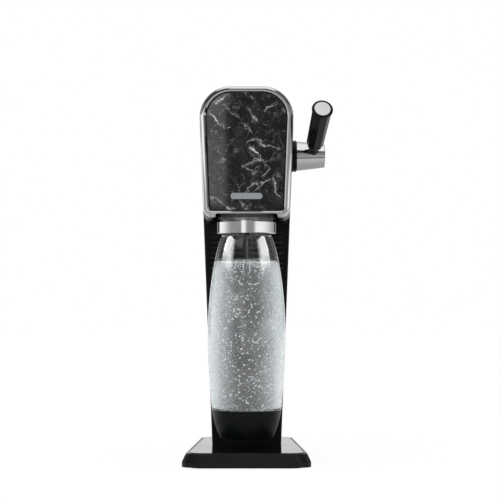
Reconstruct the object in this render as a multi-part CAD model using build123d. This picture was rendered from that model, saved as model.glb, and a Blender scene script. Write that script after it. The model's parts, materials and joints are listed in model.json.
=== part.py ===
from build123d import *
import math
import os

# Countertop soda carbonator: a base with an upright tower, an overhanging head with a framed
# front panel, a side lever that opens the gas valve, and a bottle held in a tilting lock.
# Millimetres, +Z up, +Y to the back. The origin is on the table, under the bottle's axis.

# Clearances
seat_gap = 0.2        # between pieces that are fixed against each other
run_gap = 0.05        # between a pin and the hole that it turns in
part_gap = 0.4        # between shells along a parting line

# Base
base_front_width = 146.0
base_back_width = 121.0
base_front_reach = 61.0
base_back_reach = 171.0
base_height = 17.0
base_lip = 5.4
base_flare = 4.7
base_wall = 3.0
base_front_corner = 14.0
base_back_corner = 14.0
base_edge_round = 0.8
deck_thickness = 1.6
deck_rim = 3.2
deck_proud = 0.8      # the deck's top above the base's rim
deck_edge_round = 0.4
plate_thickness = 2.0
foot_height = 1.6
foot_width = 6.0
foot_inset = 8.0
base_screw_inset = 24.0
base_boss_radius = 4.5

# Screws
screw_radius = 1.5
screw_head_radius = 2.8
screw_head_height = 1.4

# Tower
tower_foot_width = 81.8
tower_top_width = 114.4
tower_back = 158.0
tower_wall = 2.8
tower_back_corner = 28.0
tower_split = 108.0
column_front = 52.0
column_thickness = 3.0
column_edge_round = 2.4
louvre_count = 8
louvre_pitch = 6.1
louvre_height = 1.7
louvre_margin = 5.6
louvre_drop = 11.0
body_top_corner = 35.0

# Bottle, from its underside up
bottle_clearance = 12.5
cup_height = 32.5
cup_foot_radius = 30.0
cup_wall = 1.8
belly_radius = 44.8
belly_rise = 117.5
rim_radius = 40.0
shoulder_radius = 41.5
shoulder_rise = 173.5
slope_radius = 37.0
slope_rise = 203.5
collar_radius = 28.9
collar_rise = 233.0
neck_radius = 20.0
neck_rise = 244.0
neck_top_rise = 268.5
neck_wall = 2.6
neck_bead_radius = 22.8
neck_bead_height = 3.0
neck_bead_rise = 250.0
bottle_wall = 2.0
cup_foot_round = 1.6
side_tangents = [(0.09, 1), (-0.45, 1)]

# Bottle lock
lock_ring_radius = 34.0
lock_ring_height = 14.0
lock_ring_wall = 3.5
lock_ring_round = 0.9
lock_tab_width = 13.0
lock_tab_proud = 0.9
lock_groove = 3.6
lock_cap_height = 5.0
lock_cap_low_radius = 33.5
lock_cap_top_radius = 31.6
lock_barrel_radius = 26.0
lock_top_thickness = 5.5
lock_bore_radius = 24.5
lock_pivot_back = 12.0
lock_pivot_radius = 4.0
lock_boss_radius = 7.5
seal_height = 2.2
nozzle_block_radius = 9.0
nozzle_flange_radius = 12.5
nozzle_flange_height = 3.0
nozzle_radius = 3.2
nozzle_bore = 1.2
nozzle_depth = 82.0
relief_radius = 4.0
relief_height = 12.0
jaw_count = 4
jaw_angle = 50.0

# Head
head_gap = 1.9        # ring top to the head's underside
head_height = 148.5
head_front = -44.0
head_narrowing = 2.9
head_drop = 1.0       # the tower's top is this much lower than the head's front
head_low_corner = 12.0
head_top_corner = 35.0
lock_opening_width = 76.0
lock_opening_back = 40.0
bezel_front = -52.0
bezel_side = 6.6
bezel_low = 7.4
bezel_high = 5.8
bezel_round = 4.2
bezel_bevel = 1.3
bezel_notch_width = 70.0
bezel_notch_height = 4.8
bezel_notch_round = 2.6
panel_low_corner = 5.0
panel_high_corner = 29.0
panel_recess = 1.4
panel_thickness = 2.6
carrier_thickness = 3.0
carrier_overlap = 1.6
badge_width = 36.0
badge_height = 7.0
badge_thickness = 0.8
badge_rim = 0.9
badge_field_depth = 0.2
badge_rise = 17.0

# Frame inside the head and the tower
cheek_thickness = 3.0
cheek_front = -34.0
cheek_height = 98.0
spine_thickness = 3.0
spine_flange = 17.0
spine_height = 372.0
spine_foot_height = 4.0
spine_foot_depth = 15.0
spine_foot_half_width = 32.0
tower_screw_places = (-27.0, -9.0, 9.0, 27.0)
window_half_width = 7.0
window_height = 30.0

# Lever
lever_back = 0.0
lever_rise = 74.5     # lever axis above the head's underside
shaft_radius = 6.0
shaft_tail = 3.5      # shaft beyond the left bush
clip_thickness = 1.0
clip_radius = 9.0
clip_groove = 1.0
collar_disc_radius = 18.25
collar_disc_out = 57.0
collar_groove = 1.0
hub_start_radius = 17.15
hub_end_radius = 13.25
hub_length = 33.2
hub_edge_round = 0.8
hub_cap_thickness = 1.6
hub_cap_margin = 2.5
hub_end_wall = 2.0
handle_offset = 18.3  # from the hub's inner end to the handle, along the shaft
handle_drop = 1.5     # the handle's line passes this far below the shaft's axis
handle_lift = 27.5    # degrees above level
handle_splay = 5.5    # degrees outwards
handle_length = 97.5
stem_radius = 5.8
stem_socket = 9.0     # from under the shaft's axis to the foot of the stem
grip_start = 24.0
grip_start_radius = 9.0
grip_end_radius = 9.9
grip_sides = 8
grip_turn = 12.0      # degrees that the facets are turned about the handle
grip_shoulder = 5.0
grip_rim = 3.2
grip_rim_radius = 11.8
grip_rim_round = 1.4
cap_radius = 9.3
cap_thickness = 2.2
bush_wall = 2.4
bush_flange = 2.0
spring_turns = 6
spring_wire = 1.0
spring_pitch = 2.6

# Valve train
cam_radius = 17.0
cam_width = 9.0
plunger_travel = 3.0
lever_press = 45.0    # degrees of lever travel
rocker_back = 70.0
rocker_rise = 6.0     # rocker pivot above its front pad
rocker_width = 8.0
rocker_boss_radius = 6.5
rocker_pin_radius = 3.0
rocker_arm_height = 7.0
lug_thickness = 4.0
pad_gap = 0.5
plunger_radius = 3.0
plunger_head_radius = 5.6
plunger_head_height = 2.0
plunger_spring_turns = 4
plunger_spring_wire = 0.8

# Gas cylinder and its dock
cylinder_back = 104.0
cylinder_radius = 30.0
cylinder_height = 279.0
cylinder_shoulder = 46.0
cylinder_neck_radius = 13.0
cylinder_bulge = 4.5
cylinder_wall = 4.0
cylinder_foot_round = 6.0
cylinder_pad_height = 2.0
sleeve_thickness = 0.4
sleeve_low = 20.0
sleeve_high = 205.0
adapter_skirt_radius = 13.0
adapter_skirt_height = 26.0
adapter_top_radius = 8.75
adapter_height = 48.5
adapter_lug_reach = 16.0
adapter_lug_height = 4.0
adapter_lug_width = 6.0
adapter_lug_rise = 15.0
adapter_bore = 4.0
adapter_bore_depth = 14.0
valve_pin_radius = 2.2
dock_radius = 20.0
dock_skirt = 24.0
dock_roof = 8.0
shelf_thickness = 4.0
shelf_half_width = 30.0
shelf_hole_radius = 17.0
shelf_drop = 12.0
lock_pin_radius = 3.0
lock_pin_depth = 5.0
lock_pin_rise = 16.0
lock_handle_width = 4.0
lock_handle_reach = 43.0
lock_handle_angle = -51.5
lock_handle_depth = 8.0
hose_radius = 2.2
hose_port_side = -13.0
hose_port_length = 8.0
hose_bend = 11.0
elbow_radius = 8.0
elbow_room = 6.0      # between a cheek and the lock's boss, for the gas elbow
elbow_spout = 14.0
spout_radius = 3.2

# Rear cover and its button
cover_lift = 1.5      # the cover's lower edge above the deck
bead_radius = 2.2
bead_half_length = 14.0
bead_in = 2.0         # bead axis in from the tower's back
rib_depth = 3.0
button_width = 26.0
button_height = 10.0
button_proud = 0.8
button_flange = 2.0

# Heights that follow from the sizes above
deck_low = base_height - deck_thickness
bottle_low = base_height + bottle_clearance
cup_top = bottle_low + cup_height
neck_low = bottle_low + neck_rise
neck_top = bottle_low + neck_top_rise
ring_low = bottle_low + collar_rise + 1.1
ring_top = ring_low + lock_ring_height
cap_low = ring_top + lock_groove
barrel_low = cap_low + lock_cap_height
lock_inner_top = neck_top + seal_height
lock_top = lock_inner_top + lock_top_thickness
lock_pivot_z = neck_top
head_low = ring_top + head_gap
head_top = head_low + head_height
body_top = head_top - head_drop
column_back = column_front + column_thickness
spine_front = column_back + seat_gap
spine_back = spine_front + spine_thickness
lever_z = head_low + lever_rise
cam_rest = -lever_press / 2
rocker_rate = plunger_travel / (cylinder_back - rocker_back)
cam_swing = math.radians(lever_press / 2)
cam_share = 2 * math.sin(cam_swing) + rocker_rate * math.cos(cam_swing)
cam_throw = rocker_rate * (rocker_back - lever_back) / cam_share
follower_z = lever_z + cam_radius + cam_throw * math.sin(math.radians(cam_rest)) + pad_gap
rocker_z = follower_z + rocker_rise
cylinder_low = base_height + cylinder_pad_height
cylinder_top = cylinder_low + cylinder_height
adapter_top = cylinder_top + adapter_height
dock_low = adapter_top - dock_skirt
dock_top = adapter_top + dock_roof
lock_pin_z = dock_low + lock_pin_rise
carrier_back = bezel_front + panel_recess + panel_thickness + seat_gap + carrier_thickness


# Shared outlines and tools

def upright(y):
    # Sketch plane that faces the front, at depth y: its own axes are X and Z
    return Plane(origin=(0, y, 0), x_dir=(1, 0, 0), z_dir=(0, -1, 0))


def slab(outline, front, back):
    # An X and Z outline made solid from depth front to depth back
    return extrude(upright(front) * outline, amount=back - front, dir=(0, 1, 0))


def rod(radius, start, end):
    # A round bar between two points
    run = Vector(*end) - Vector(*start)
    return extrude(Plane(origin=start, z_dir=run) * Circle(radius), amount=run.length)


def cross_bar(radius, left, right, y, z):
    # A round bar along X
    return rod(radius, (left, y, z), (right, y, z))


def ring(outer, inner, low, high):
    # An upright round ring about the bottle's axis
    return Pos(0, 0, low) * extrude(Circle(outer) - Circle(inner), amount=high - low)


def block(x_low, x_high, y_low, y_high, z_low, z_high):
    size = (x_high - x_low, y_high - y_low, z_high - z_low)
    middle = ((x_low + x_high) / 2, (y_low + y_high) / 2, (z_low + z_high) / 2)
    return Pos(*middle) * Box(*size)


def turned(points, back=0.0):
    # A solid of revolution about an upright axis, from (radius, height) corners
    outline = Plane.XZ * make_face(Polyline(*points, close=True))
    return Pos(0, back, 0) * revolve(outline, Axis.Z)


def screw(x, y, low, length):
    # Pan-head screw with its head down
    neck = low + screw_head_height
    head = rod(screw_head_radius, (x, y, low), (x, y, neck))
    return head + rod(screw_radius, (x, y, neck), (x, y, low + length))


def base_outline(inset):
    front, back = base_front_width / 2 - inset, base_back_width / 2 - inset
    near, far = inset - base_front_reach, base_back_reach - inset
    plan = Polygon((-front, near), (front, near), (back, far), (-back, far), align=None)
    plan = fillet(plan.vertices().group_by(Axis.Y)[0], base_front_corner)
    return fillet(plan.vertices().group_by(Axis.Y)[-1], base_back_corner)


def side_at(z):
    # Half width of the body's leaning sides at height z
    lean = (tower_top_width - tower_foot_width) / 2 / (body_top - base_height)
    return tower_foot_width / 2 + lean * (z - base_height)


# The cheeks leave room in the head for the bushes' flanges and the end of the lever's shaft
cheek_outside = side_at(lever_z) - head_narrowing - tower_wall - part_gap - shaft_tail - bush_flange
cheek_half_span = cheek_outside - cheek_thickness


def body_outline(low, high, inset, low_corner=0.0, high_corner=0.0):
    thin, wide = side_at(low) - inset, side_at(high) - inset
    plan = Polygon((-thin, low), (thin, low), (wide, high), (-wide, high), align=None)
    if low_corner:
        plan = fillet(plan.vertices().group_by(Axis.Y)[0], low_corner)
    if high_corner:
        plan = fillet(plan.vertices().group_by(Axis.Y)[-1], high_corner)
    return plan


# Base

def base_screw_points():
    front = base_front_width / 2 - base_screw_inset
    back = base_back_width / 2 - base_screw_inset
    near, far = base_screw_inset - base_front_reach, base_back_reach - base_screw_inset
    return [(-front, near), (front, near), (back, far), (-back, far)]


def tower_screw_points():
    return [(x, spine_back + spine_foot_depth / 2) for x in tower_screw_places]


def base_block(inset, top):
    # The base's outer form, or the same form drawn in by inset
    lip_top = foot_height + base_lip
    lip = extrude(Pos(0, 0, foot_height) * base_outline(inset), amount=base_lip)
    share = (top - lip_top) / (base_height - lip_top)
    low_outline = Pos(0, 0, lip_top) * base_outline(inset)
    high_outline = Pos(0, 0, top) * base_outline(inset + base_flare * share)
    return lip + loft([low_outline, high_outline])


def base_shell():
    body = base_block(0, base_height - deck_proud)
    body = fillet(body.faces().sort_by(Axis.Z)[-1].edges(), base_edge_round)
    ceiling = deck_low - base_wall
    body -= base_block(base_wall, ceiling)
    body -= extrude(Pos(0, 0, deck_low) * base_outline(base_flare + deck_rim), amount=deck_thickness)
    floor = foot_height + plate_thickness + seat_gap
    for x, y in base_screw_points():
        body += rod(base_boss_radius, (x, y, floor), (x, y, ceiling))
        body -= rod(screw_radius + run_gap, (x, y, floor), (x, y, ceiling))
    for x, y in tower_screw_points():
        body -= rod(screw_radius + run_gap, (x, y, ceiling), (x, y, deck_low))
    return body


def deck():
    outline = base_outline(base_flare + deck_rim + seat_gap)
    sheet = extrude(Pos(0, 0, deck_low) * outline, amount=deck_thickness)
    sheet = fillet(sheet.faces().sort_by(Axis.Z)[-1].edges(), deck_edge_round)
    for x, y in tower_screw_points():
        sheet -= rod(screw_radius + run_gap, (x, y, deck_low), (x, y, base_height))
    return sheet


def bottom_plate():
    plate = extrude(Pos(0, 0, foot_height) * base_outline(base_wall + seat_gap), amount=plate_thickness)
    head_top_z = foot_height + screw_head_height
    for x, y in base_screw_points():
        plate -= rod(screw_radius + run_gap, (x, y, foot_height), (x, y, foot_height + plate_thickness))
        plate -= rod(screw_head_radius + run_gap, (x, y, foot_height), (x, y, head_top_z))
    return plate


def rubber_foot():
    return extrude(base_outline(foot_inset) - base_outline(foot_inset + foot_width), amount=foot_height)


def base_screws():
    length = deck_low - base_wall - foot_height - 1
    return [screw(x, y, foot_height, length) for x, y in base_screw_points()]


def tower_screws():
    low = deck_low - base_wall - screw_head_height
    length = base_height + spine_foot_height - 1 - low
    return [screw(x, y, low, length) for x, y in tower_screw_points()]


# Tower

def tower_block(inset, front):
    outline = body_outline(base_height, body_top - inset, inset, high_corner=body_top_corner - inset)
    solid = slab(outline, front, tower_back - inset)
    rim = solid.faces().sort_by(Axis.Y)[-1].edges().filter_by(lambda e: e.center().Z > base_height + 1)
    return fillet(rim, tower_back_corner - inset)


def tower_walls():
    return tower_block(0, spine_front) - tower_block(tower_wall, column_front)


def tower_shell():
    return split(tower_walls(), bisect_by=Plane.XZ.offset(-(tower_split - part_gap / 2)), keep=Keep.TOP)


def button_outline(grow):
    return SlotOverall(button_width + 2 * grow, button_height + 2 * grow)


def button_height_z():
    return body_top - tower_back_corner - button_height


def rear_cover():
    cover = split(tower_walls(), bisect_by=Plane.XZ.offset(-(tower_split + part_gap / 2)), keep=Keep.BOTTOM)
    far, half = tower_back + 1, tower_top_width
    cover -= block(-half, half, tower_split, far, base_height - 1, base_height + cover_lift)
    bead_y = tower_back - bead_in
    bead_z = base_height + seat_gap + bead_radius
    cover += rod(bead_radius, (-bead_half_length, bead_y, bead_z), (bead_half_length, bead_y, bead_z))
    hole = Pos(0, button_height_z()) * button_outline(part_gap)
    return cover - slab(hole, tower_back - tower_wall - 1, far)


def cover_rib():
    # Upstand on the deck that the cover's bead sits behind
    back = tower_back - bead_in - bead_radius - seat_gap
    half, top = bead_half_length, base_height + 2 * bead_radius
    return block(-half, half, back - rib_depth, back, base_height, top)


def cover_button():
    place = Pos(0, button_height_z())
    flange_back = tower_back - tower_wall - seat_gap
    flange_front = flange_back - button_flange
    face = slab(place * button_outline(0), flange_front, tower_back + button_proud)
    face = fillet(face.faces().sort_by(Axis.Y)[-1].edges(), button_proud / 2)
    return face + slab(place * button_outline(button_flange), flange_front, flange_back)


def louvre_heights():
    top = head_low - louvre_drop
    return [top - i * louvre_pitch for i in range(louvre_count)]


def column_cover():
    panel = slab(body_outline(base_height, head_low - part_gap, 0), column_front, column_back)
    front_edges = panel.faces().sort_by(Axis.Y)[0].edges()
    side_edges = front_edges.filter_by(lambda e: abs(e.center().X) > tower_foot_width / 4)
    panel = fillet(side_edges, column_edge_round)
    for z in louvre_heights():
        reach = side_at(z) - louvre_margin
        slot = Pos(0, z) * SlotOverall(2 * reach, louvre_height)
        panel -= slab(slot, column_front - 1, column_back + 1)
    return panel


def window_outline():
    return Pos(0, rocker_z) * Rectangle(2 * window_half_width, window_height)


def spine():
    inset = tower_wall + seat_gap
    top = base_height + spine_height
    plate = slab(body_outline(base_height, top, inset), spine_front, spine_back)
    flanges = body_outline(base_height, top, inset) - body_outline(base_height, top, inset + spine_thickness)
    plate += slab(flanges, spine_back, spine_back + spine_flange)
    foot_back = spine_back + spine_foot_depth
    half = spine_foot_half_width
    plate += block(-half, half, spine_back, foot_back, base_height, base_height + spine_foot_height)
    plate -= slab(window_outline(), spine_front, spine_back)
    plate -= slab(Pos(hose_port_side, hose_z()) * Circle(2 * hose_radius), spine_front, spine_back)
    for x, y in tower_screw_points():
        plate -= rod(screw_radius + run_gap, (x, y, base_height), (x, y, base_height + spine_foot_height))
    return plate


# Head

def head_block(inset):
    low, low_corner = head_low + inset, head_low_corner - inset
    front_inset = inset + head_narrowing
    front = body_outline(low, head_top - inset, front_inset, low_corner, head_top_corner - inset)
    back = body_outline(low, body_top - inset, inset, low_corner, body_top_corner - inset)
    return loft([upright(head_front) * front, upright(column_back) * back], ruled=True)


def head_shell():
    shell = head_block(0) - head_block(tower_wall)
    half = lock_opening_width / 2
    shell -= block(-half, half, head_front - 1, lock_opening_back, head_low - 1, head_low + 2 * tower_wall)
    hole = collar_disc_radius + part_gap
    return shell - rod(hole, (cheek_half_span, lever_back, lever_z), (collar_disc_out, lever_back, lever_z))


def panel_outline(grow):
    inset = head_narrowing + bezel_side - grow
    low, high = head_low + bezel_low - grow, head_top - bezel_high + grow
    return body_outline(low, high, inset, panel_low_corner + grow, panel_high_corner + grow)


def bezel():
    back = head_front - seat_gap
    outer = body_outline(head_low, head_top, head_narrowing, head_low_corner, head_top_corner)
    frame = slab(outer, bezel_front, back)
    frame = fillet(frame.faces().sort_by(Axis.Y)[0].edges(), bezel_round)
    frame -= slab(panel_outline(0), bezel_front - 1, back + 1)
    inner_edges = frame.faces().sort_by(Axis.Y)[0].inner_wires()[0].edges()
    frame = chamfer(inner_edges, bezel_bevel)
    step = bezel_front + panel_recess + panel_thickness
    frame -= slab(panel_outline(carrier_overlap), step, back + 1)
    notch = Pos(0, head_low) * RectangleRounded(bezel_notch_width, 2 * bezel_notch_height, bezel_notch_round)
    return frame - slab(notch, bezel_front - 1, back + 1)


def front_panel():
    front = bezel_front + panel_recess
    return slab(panel_outline(-seat_gap), front, front + panel_thickness)


def panel_carrier():
    return slab(panel_outline(carrier_overlap - seat_gap), carrier_back - carrier_thickness, carrier_back)


def badge():
    back = bezel_front + panel_recess
    front = back - badge_thickness
    middle = Pos(0, head_low + bezel_low + badge_rise)
    plate = slab(middle * SlotOverall(badge_width, badge_height), front, back)
    plate = fillet(plate.faces().sort_by(Axis.Y)[0].edges(), badge_thickness / 2)
    field = middle * SlotOverall(badge_width - 2 * badge_rim, badge_height - 2 * badge_rim)
    return plate - slab(field, front, front + badge_field_depth)


def head_frame():
    # Two cheeks on a back plate: they carry the lever's shaft and the lock's pivots
    low = head_low + head_low_corner
    top = low + cheek_height
    outer = cheek_outside
    back = spine_front - seat_gap
    frame = block(-outer, outer, back - cheek_thickness, back, low, top)
    for side in (-1, 1):
        inner, far = sorted((side * cheek_half_span, side * outer))
        frame += block(inner, far, cheek_front, back, low, top)
    frame -= slab(window_outline(), back - cheek_thickness, back)
    frame -= slab(Pos(hose_port_side, hose_z()) * Circle(2 * hose_radius), back - cheek_thickness, back)
    bush_hole = shaft_radius + run_gap + bush_wall
    frame -= cross_bar(bush_hole, -outer, outer, lever_back, lever_z)
    return frame - cross_bar(lock_pivot_radius + run_gap, -outer, outer, lock_pivot_back, lock_pivot_z)


# Bottle

def bottle_side():
    # The clear wall's outer line, from the cup's rim to the foot of the neck
    belly = (belly_radius, bottle_low + belly_rise)
    points = [
        (rim_radius, cup_top),
        belly,
        (shoulder_radius, bottle_low + shoulder_rise),
        (slope_radius, bottle_low + slope_rise),
        (collar_radius, bottle_low + collar_rise),
    ]
    return Spline(*points, tangents=side_tangents)


def bottle_floor(gap):
    # Corners of the stepped bottom that stands in the cup, moved out by gap
    floor_z = bottle_low + cup_wall + seat_gap
    return [
        (0, floor_z - gap),
        (cup_foot_radius - 3 * cup_wall, floor_z - gap),
        (cup_foot_radius + gap, floor_z + cup_height / 5 - gap),
        (rim_radius - cup_wall + gap, cup_top),
    ]


def bottle():
    floor = bottle_floor(0)
    shoulder = (collar_radius, bottle_low + collar_rise)
    outer = [
        Polyline(*floor, (rim_radius, cup_top)),
        bottle_side(),
        Polyline(shoulder, (neck_radius, neck_low), (neck_radius, neck_top), (0, neck_top), floor[0]),
    ]
    solid = revolve(Plane.XZ * make_face(outer), Axis.Z)
    bead_low = bottle_low + neck_bead_rise
    solid += ring(neck_bead_radius, neck_radius - neck_wall / 2, bead_low, bead_low + neck_bead_height)
    return solid - bottle_inside()


def bottle_inside():
    # The hollow: the outer line drawn in by the wall, open at the neck
    wall = bottle_wall
    mouth = neck_radius - neck_wall
    floor = bottle_floor(-wall)
    side = [
        (rim_radius - wall, cup_top + wall),
        (belly_radius - wall, bottle_low + belly_rise),
        (shoulder_radius - wall, bottle_low + shoulder_rise),
        (slope_radius - wall, bottle_low + slope_rise - wall / 3),
        (collar_radius - wall, bottle_low + collar_rise - wall / 2),
    ]
    top = neck_top + 1
    hollow = [
        Polyline(*floor[:3], (rim_radius - cup_wall - wall, cup_top - wall), side[0]),
        Spline(*side, tangents=side_tangents),
        Polyline(side[-1], (mouth, neck_low), (mouth, top), (0, top), floor[0]),
    ]
    return revolve(Plane.XZ * make_face(hollow), Axis.Z)


def bottle_cup():
    foot = (cup_foot_radius, bottle_low)
    bulge = ((cup_foot_radius + rim_radius) / 2 + 1.2, bottle_low + cup_height / 2 - 1)
    rim = (rim_radius, cup_top)
    inner = bottle_floor(seat_gap)
    outline = [
        ThreePointArc(foot, bulge, rim),
        Polyline(rim, *reversed(inner), (0, bottle_low), foot),
    ]
    cup = revolve(Plane.XZ * make_face(outline), Axis.Z)
    return fillet(cup.faces().sort_by(Axis.Z)[0].edges(), cup_foot_round)


# Bottle lock

def lock_ring():
    outer, inner = lock_ring_radius, lock_ring_radius - lock_ring_wall
    band = ring(outer, inner, ring_low, ring_top)
    rims = band.edges().filter_by(GeomType.CIRCLE).filter_by(lambda e: e.radius > inner + 1)
    band = fillet(rims, lock_ring_round)
    half = lock_tab_width / 2
    tab = ring(outer + lock_tab_proud, outer - 2 * lock_ring_round, ring_low, ring_top)
    return band + (tab & block(-half, half, -2 * outer, 0, ring_low, ring_top))


def lock_body():
    skirt = lock_ring_radius - lock_ring_wall - seat_gap
    bore = lock_bore_radius
    mouth = collar_radius + 0.3
    corners = [
        (mouth, ring_low),
        (skirt, ring_low),
        (skirt, cap_low),
        (lock_cap_low_radius, cap_low),
        (lock_cap_top_radius, barrel_low),
        (lock_barrel_radius, barrel_low),
        (lock_barrel_radius, lock_top),
        (nozzle_block_radius + run_gap, lock_top),
        (nozzle_block_radius + run_gap, lock_inner_top),
        (bore, lock_inner_top),
        (bore, ring_low + lock_ring_height / 2),
    ]
    body = turned(corners)
    y, z = lock_pivot_back, lock_pivot_z
    for side in (-1, 1):
        boss = rod(lock_boss_radius, (side * bore, y, z), (side * (cheek_half_span - elbow_room), y, z))
        body += boss - rod(bore + seat_gap, (0, 0, ring_low), (0, 0, lock_top))
        body -= rod(lock_pivot_radius, (side * (bore + 2), y, z), (side * cheek_half_span, y, z))
    return body


def lock_pivots():
    y, z = lock_pivot_back, lock_pivot_z
    outer = cheek_outside
    return [
        rod(lock_pivot_radius, (side * (lock_bore_radius + 2), y, z), (side * outer, y, z))
        for side in (-1, 1)
    ]


def lock_jaws():
    # Jaws that close under the bead of the bottle's neck
    top = bottle_low + neck_bead_rise - seat_gap
    low = max(neck_low, ring_low + lock_ring_height / 2) + seat_gap
    band = ring(lock_bore_radius - seat_gap / 2, neck_radius + seat_gap, low, top)
    reach = 2 * lock_bore_radius
    spread = reach * math.tan(math.radians(jaw_angle / 2))
    wedge = make_face(Polyline((0, 0), (reach, -spread), (reach, spread), close=True))
    cutter = Pos(0, 0, low) * extrude(wedge, amount=top - low)
    return [band & (Rot(0, 0, 360 / jaw_count * (i + 0.5)) * cutter) for i in range(jaw_count)]


def neck_seal():
    return ring(neck_radius, neck_radius - 2 * neck_wall, neck_top, lock_inner_top)


def nozzle_block():
    body = ring(nozzle_block_radius, nozzle_radius, lock_inner_top, lock_top)
    return body + ring(nozzle_flange_radius, nozzle_radius, lock_top, lock_top + nozzle_flange_height)


def nozzle_tube():
    top = lock_top + nozzle_flange_height
    return ring(nozzle_radius - run_gap, nozzle_bore, lock_inner_top - nozzle_depth, top)


def relief_valve():
    low = lock_top + nozzle_flange_height
    head = turned([(0, low), (relief_radius, low), (relief_radius, low + relief_height * 0.6),
                   (relief_radius * 0.6, low + relief_height), (0, low + relief_height)])
    return head


# Lever

def hub_start():
    return collar_disc_out + seat_gap


def lever_collar():
    y, z = lever_back, lever_z
    inner, outer = bush_end() + seat_gap, collar_disc_out
    disc = cross_bar(collar_disc_radius, inner, outer, y, z)
    disc -= cross_bar(shaft_radius + part_gap, inner, outer, y, z)
    right = outer - 2 * collar_groove
    left = right - collar_groove
    groove = cross_bar(collar_disc_radius + 1, left, right, y, z)
    return disc - (groove - cross_bar(collar_disc_radius - collar_groove, left, right, y, z))


def lever_hub():
    y, z = lever_back, lever_z
    start = hub_start()
    cone = loft([
        Plane(origin=(start, y, z), z_dir=(1, 0, 0)) * Circle(hub_start_radius),
        Plane(origin=(start + hub_length, y, z), z_dir=(1, 0, 0)) * Circle(hub_end_radius),
    ])
    cone = fillet(cone.edges().filter_by(GeomType.CIRCLE), hub_edge_round)
    end = start + hub_length
    cone -= rod(shaft_radius, (start, y, z), (shaft_end(), y, z))
    seat = hub_end_radius - hub_cap_margin
    cone -= rod(seat, (end - hub_cap_thickness, y, z), (end, y, z))
    return cone - stem_hole()


def hub_cap():
    end = hub_start() + hub_length
    seat = hub_end_radius - hub_cap_margin - run_gap
    disc = rod(seat, (end - hub_cap_thickness, lever_back, lever_z), (end, lever_back, lever_z))
    return fillet(disc.faces().sort_by(Axis.X)[-1].edges(), 0.5)


def handle_direction():
    lift, splay = math.radians(handle_lift), math.radians(handle_splay)
    return Vector(math.cos(lift) * math.sin(splay), -math.cos(lift) * math.cos(splay), math.sin(lift))


def handle_plane(distance):
    root = Vector(hub_start() + handle_offset, lever_back, lever_z - handle_drop)
    along = handle_direction()
    return Plane(origin=root + along * distance, x_dir=(1, 0, 0), z_dir=along)


def stem_hole():
    length = grip_start - stem_socket
    return extrude(handle_plane(stem_socket) * Circle(stem_radius + run_gap), amount=length)


def lever_stem():
    length = grip_start + grip_shoulder - stem_socket
    return extrude(handle_plane(stem_socket) * Circle(stem_radius), amount=length)


def octagon(radius):
    return RegularPolygon(radius, grip_sides, major_radius=False, rotation=180 / grip_sides + grip_turn)


def grip_solid():
    low, high = grip_start + grip_shoulder, handle_length - grip_rim
    facets = loft([
        handle_plane(low) * octagon(grip_start_radius),
        handle_plane(high) * octagon(grip_end_radius),
    ], ruled=True)
    shoulder = loft([
        handle_plane(grip_start) * Circle(stem_radius + 1.0),
        handle_plane(low) * Circle(grip_start_radius),
    ])
    rim = extrude(handle_plane(high) * Circle(grip_rim_radius), amount=grip_rim)
    rim = fillet(rim.edges().filter_by(GeomType.CIRCLE), grip_rim_round)
    return facets + shoulder + rim


def lever_grip():
    cap_seat = Circle(cap_radius + run_gap)
    seat = extrude(handle_plane(handle_length - cap_thickness) * cap_seat, amount=cap_thickness + 1)
    socket = extrude(handle_plane(grip_start) * Circle(stem_radius), amount=grip_shoulder)
    return grip_solid() - seat - socket


def lever_end_cap():
    disc = extrude(handle_plane(handle_length - cap_thickness) * Circle(cap_radius), amount=cap_thickness)
    return fillet(disc.edges().sort_by(Axis.Y)[0], 0.6)


def bush_end():
    return cheek_outside + bush_flange


def clip_ring(inner):
    # A flat ring round the shaft, just outside the left bush
    start, end = -bush_end() - seat_gap, -bush_end() - seat_gap - clip_thickness
    disc = rod(clip_radius, (start, lever_back, lever_z), (end, lever_back, lever_z))
    return disc - rod(inner, (start, lever_back, lever_z), (end, lever_back, lever_z))


def shaft_clip():
    return clip_ring(shaft_radius - clip_groove)


def lever_shaft():
    start, end = -bush_end() - shaft_tail, shaft_end()
    bar = rod(shaft_radius, (start, lever_back, lever_z), (end, lever_back, lever_z))
    return bar - shaft_clip()


def shaft_end():
    return hub_start() + hub_length - hub_cap_thickness - hub_end_wall


def shaft_bushes():
    y, z = lever_back, lever_z
    bushes = []
    for side in (-1, 1):
        inner = side * cheek_half_span
        outer, flange = inner + side * cheek_thickness, side * bush_end()
        bush = cross_bar(shaft_radius + bush_wall, inner, outer, y, z)
        bush += cross_bar(shaft_radius + 2 * bush_wall, outer, flange, y, z)
        bushes.append(bush - cross_bar(shaft_radius + run_gap, inner, flange, y, z))
    return bushes


def lever_cam():
    half = cam_width / 2
    swing = math.radians(cam_rest)
    y = lever_back + cam_throw * math.cos(swing)
    z = lever_z + cam_throw * math.sin(swing)
    disc = rod(cam_radius, (-half, y, z), (half, y, z))
    return disc - rod(shaft_radius, (-half, lever_back, lever_z), (half, lever_back, lever_z))


def coil(radius, pitch, turns, wire, place):
    # A wound spring: one round wire on a helix
    line = Helix(pitch=pitch, height=pitch * turns, radius=radius)
    section = Plane(origin=line @ 0, z_dir=line % 0) * Circle(wire / 2)
    wound = sweep(section, path=line)
    expected = math.pi * (wire / 2) ** 2 * line.length
    gap = pitch - wire
    print(f"coil of {turns} turns: volume share {wound.volume / expected:.3f}, least gap {gap:.2f}")
    return place * wound


def lever_spring():
    start = -cheek_half_span + 4.0
    place = Plane(origin=(start, lever_back, lever_z), x_dir=(0, 1, 0), z_dir=(1, 0, 0)).location
    return coil(shaft_radius + spring_wire / 2 + 0.3, spring_pitch, spring_turns, spring_wire, place)


# Valve train

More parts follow.
